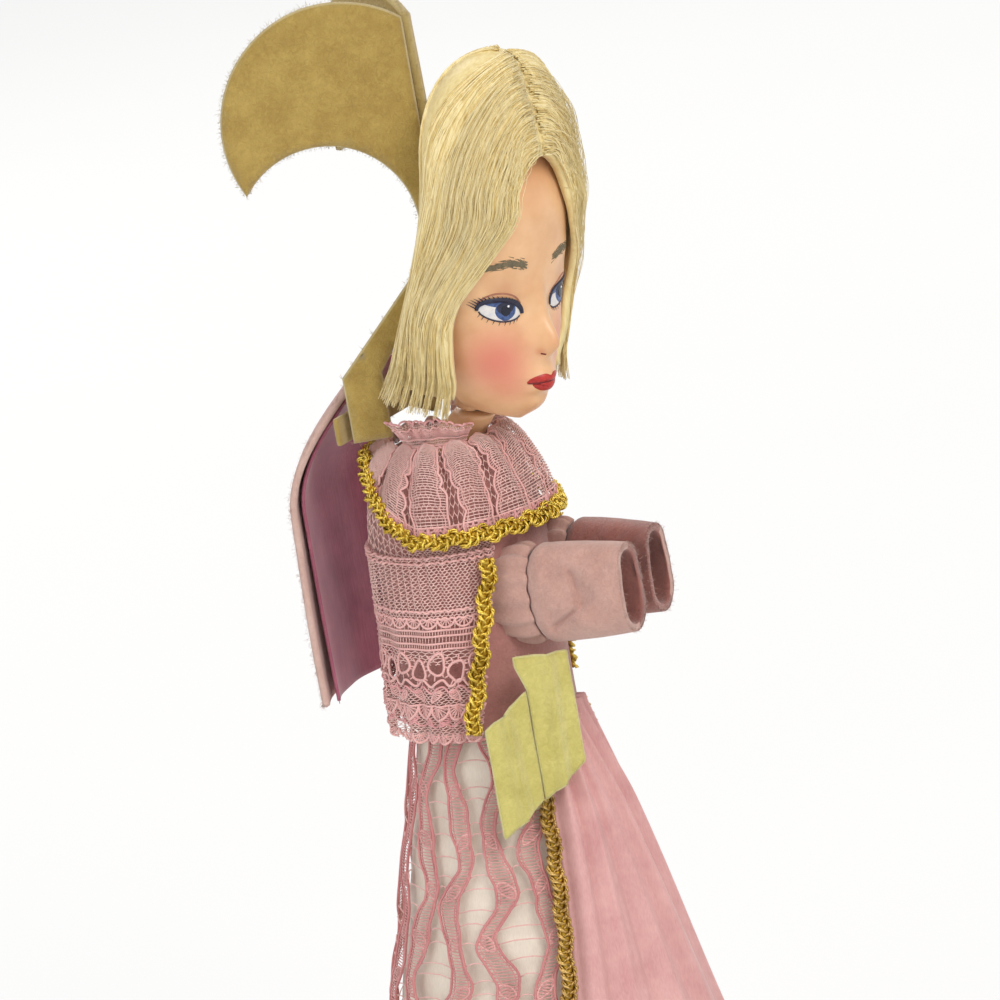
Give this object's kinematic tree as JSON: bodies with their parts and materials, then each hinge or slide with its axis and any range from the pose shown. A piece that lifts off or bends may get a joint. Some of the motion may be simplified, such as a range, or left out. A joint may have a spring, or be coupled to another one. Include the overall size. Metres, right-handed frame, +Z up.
{
  "type": "angel figure",
  "caption": "Standing angel figure: pressed face and floss hair on a neck wire, felt wings and sleeves, lace and satin dress over a card cone, folding song book.",
  "frame": {"origin": "middle of the underside of the base disc", "axes": "+Z up along the figure; the figure faces -Y; -X is its right side, where the song book is"},
  "size_m": [0.0514, 0.0507, 0.1468],
  "materials": {
    "card": "plain grey-brown card",
    "cork": "raw cork",
    "wire": "dull wire",
    "wadding": "loose cotton wadding",
    "pink_felt": "fuzzy pink wool felt",
    "pink_lace": "dusty pink cotton lace",
    "pink_satin": "pink satin",
    "white_satin": "off-white satin",
    "violet_satin": "violet-pink satin",
    "gold_braid": "twisted metallic gold thread",
    "mustard_felt": "mustard wool felt",
    "yellow_paper": "soft yellow paper",
    "celluloid": "painted celluloid, satin gloss",
    "floss": "pale blond floss"
  },
  "bodies": {
    "figure": {"base_disc": "card", "body_cone": "card", "neck_plug": "cork", "neck_peg": "wire", "torso_padding": "wadding", "bodice": "pink_felt", "underskirt": "white_satin", "front_panel": "pink_satin", "lace_overskirt": "pink_lace", "overskirt_braid_right": "gold_braid", "overskirt_braid_left": "gold_braid", "lace_capelet": "pink_lace", "capelet_braid_right": "gold_braid", "capelet_braid_left": "gold_braid", "lace_collar": "pink_lace", "lace_frill_right": "pink_lace", "lace_frill_left": "pink_lace", "collar_braid": "gold_braid", "cape": "pink_felt", "cape_lining": "violet_satin", "right_arm_root": "pink_felt", "left_arm_root": "pink_felt", "songbook_back_leaf": "yellow_paper"},
    "song_leaf": {"songbook_front_leaf": "yellow_paper"},
    "right_arm": {"right_sleeve": "pink_felt"},
    "left_arm": {"left_sleeve": "pink_felt"},
    "wings": {"right_wing": "mustard_felt", "left_wing": "mustard_felt", "wing_bridge": "mustard_felt"},
    "head": {"face_mask": "celluloid", "head_backing": "floss", "neck_socket": "celluloid", "hair_crown": "floss", "hair_right": "floss", "hair_left": "floss", "hair_back": "floss"}
  },
  "joints": [
    {"name": "head_turn", "type": "hinge", "parent": "figure", "child": "head", "pos_m": [0, -0.00913, 0.11677], "axis": [0, -0.2419, 0.9703], "range_deg": [-2, 26]},
    {"name": "right_arm_swing", "type": "hinge", "parent": "figure", "child": "right_arm", "pos_m": [-0.0047, -0.013, 0.0797], "axis": [0, 0, -1], "range_deg": [0, 20]},
    {"name": "left_arm_swing", "type": "hinge", "parent": "figure", "child": "left_arm", "pos_m": [0.0047, -0.013, 0.0797], "axis": [0, 0, 1], "range_deg": [0, 20]},
    {"name": "songbook_fold", "type": "hinge", "parent": "figure", "child": "song_leaf", "pos_m": [-0.00959, -0.01039, 0.0633], "axis": [0, 0, 1], "range_deg": [0, 110]},
    {"name": "wings_tilt", "type": "hinge", "parent": "figure", "child": "wings", "pos_m": [0, 0.00874, 0.0982], "axis": [-1, 0, 0], "range_deg": [0, 15], "stiffness_Nm_per_rad": 0.003}
  ]
}
